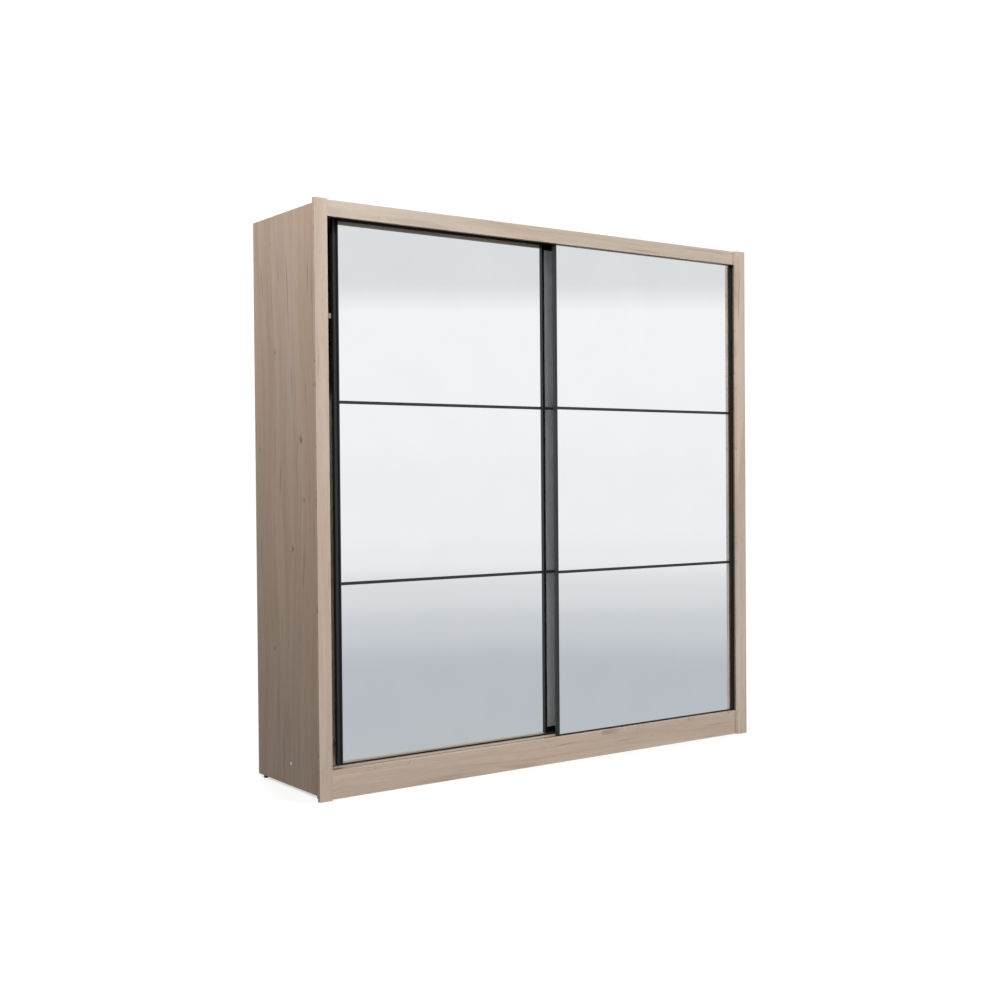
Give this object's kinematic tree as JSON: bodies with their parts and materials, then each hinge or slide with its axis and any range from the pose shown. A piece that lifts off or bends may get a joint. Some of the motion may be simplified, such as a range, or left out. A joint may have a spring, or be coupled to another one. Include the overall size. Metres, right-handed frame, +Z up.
{
  "type": "sliding door wardrobe",
  "caption": "Free-standing wardrobe in wood-look board with overlapping mirror doors that slide on twin tracks over a hanging compartment and a shelved compartment.",
  "frame": {"origin": "middle of the footprint, on the floor", "axes": "+Z up, the doors face -Y, +X to the right seen from the front"},
  "size_m": [2.06, 0.55, 2.1],
  "materials": {
    "oak_board": "matt grey-beige oak decor with grain",
    "back_board": "plain thin back board",
    "door_board": "plain grey board behind the mirrors",
    "black_aluminium": "matt black",
    "mirror": "polished",
    "track_aluminium": "brushed, champagne",
    "rail_chrome": "polished",
    "black_plastic": "fine texture",
    "grey_plastic": "smooth",
    "white_plastic": "smooth"
  },
  "bodies": {
    "carcass": {"side_panel_left": "oak_board", "front_stile_left": "oak_board", "foot_left_front": "black_plastic", "foot_left_rear": "black_plastic", "side_panel_right": "oak_board", "front_stile_right": "oak_board", "foot_right_front": "black_plastic", "foot_right_rear": "black_plastic", "top_rail": "oak_board", "plinth": "oak_board", "top_panel": "oak_board", "bottom_panel": "oak_board", "bottom_track_front": "track_aluminium", "bottom_track_rear": "track_aluminium", "top_track": "track_aluminium", "centre_partition": "oak_board", "centre_support": "oak_board", "hat_shelf": "oak_board", "shelf_lower": "oak_board", "shelf_middle": "oak_board", "shelf_upper": "oak_board", "hanging_rail": "rail_chrome", "rail_socket_left": "rail_chrome", "rail_socket_right": "rail_chrome", "back_panel_left": "back_board", "back_panel_right": "back_board", "back_joint_strip": "white_plastic", "cover_cap": "white_plastic"},
    "door_left": {"left_outer_profile": "black_aluminium", "left_meeting_profile": "black_aluminium", "left_top_profile": "black_aluminium", "left_bottom_profile": "black_aluminium", "left_muntin_upper": "black_aluminium", "left_muntin_lower": "black_aluminium", "left_mirror_top": "mirror", "left_mirror_middle": "mirror", "left_mirror_bottom": "mirror", "left_backing_board": "door_board", "left_roller_housing_a": "black_plastic", "left_roller_housing_b": "black_plastic", "left_top_guide_a": "black_plastic", "left_top_guide_b": "black_plastic"},
    "roller_left_a": {"wheel_left_a": "grey_plastic"},
    "roller_left_b": {"wheel_left_b": "grey_plastic"},
    "door_right": {"right_outer_profile": "black_aluminium", "right_meeting_profile": "black_aluminium", "right_top_profile": "black_aluminium", "right_bottom_profile": "black_aluminium", "right_muntin_upper": "black_aluminium", "right_muntin_lower": "black_aluminium", "right_mirror_top": "mirror", "right_mirror_middle": "mirror", "right_mirror_bottom": "mirror", "right_backing_board": "door_board", "right_roller_housing_a": "black_plastic", "right_roller_housing_b": "black_plastic", "right_top_guide_a": "black_plastic", "right_top_guide_b": "black_plastic"},
    "roller_right_a": {"wheel_right_a": "grey_plastic"},
    "roller_right_b": {"wheel_right_b": "grey_plastic"}
  },
  "joints": [
    {"name": "door_left_slide", "type": "slide", "parent": "carcass", "child": "door_left", "axis": [1, 0, 0], "range_m": [-0.0735, 0.871]},
    {"name": "roller_left_a_spin", "type": "hinge", "parent": "door_left", "child": "roller_left_a", "pos_m": [-0.827, -0.1798, 0.109], "axis": [0, 1, 0], "range_deg": [-268.2, 3124]},
    {"name": "roller_left_b_spin", "type": "hinge", "parent": "door_left", "child": "roller_left_b", "pos_m": [0.0295, -0.1798, 0.109], "axis": [0, 1, 0], "range_deg": [-268.2, 3124]},
    {"name": "door_right_slide", "type": "slide", "parent": "carcass", "child": "door_right", "axis": [1, 0, 0], "range_m": [-1.016, 0]},
    {"name": "roller_right_a_spin", "type": "hinge", "parent": "door_right", "child": "roller_right_a", "pos_m": [0.1155, -0.2298, 0.109], "axis": [0, 1, 0], "range_deg": [-3643.3, 5]},
    {"name": "roller_right_b_spin", "type": "hinge", "parent": "door_right", "child": "roller_right_b", "pos_m": [0.901, -0.2298, 0.109], "axis": [0, 1, 0], "range_deg": [-3643.3, 5]}
  ],
  "couplings": [
    {"joint": "roller_left_a_spin", "follows": "door_left_slide", "rad_per_m": 62.5},
    {"joint": "roller_left_b_spin", "follows": "door_left_slide", "rad_per_m": 62.5},
    {"joint": "roller_right_a_spin", "follows": "door_right_slide", "rad_per_m": 62.5},
    {"joint": "roller_right_b_spin", "follows": "door_right_slide", "rad_per_m": 62.5}
  ]
}
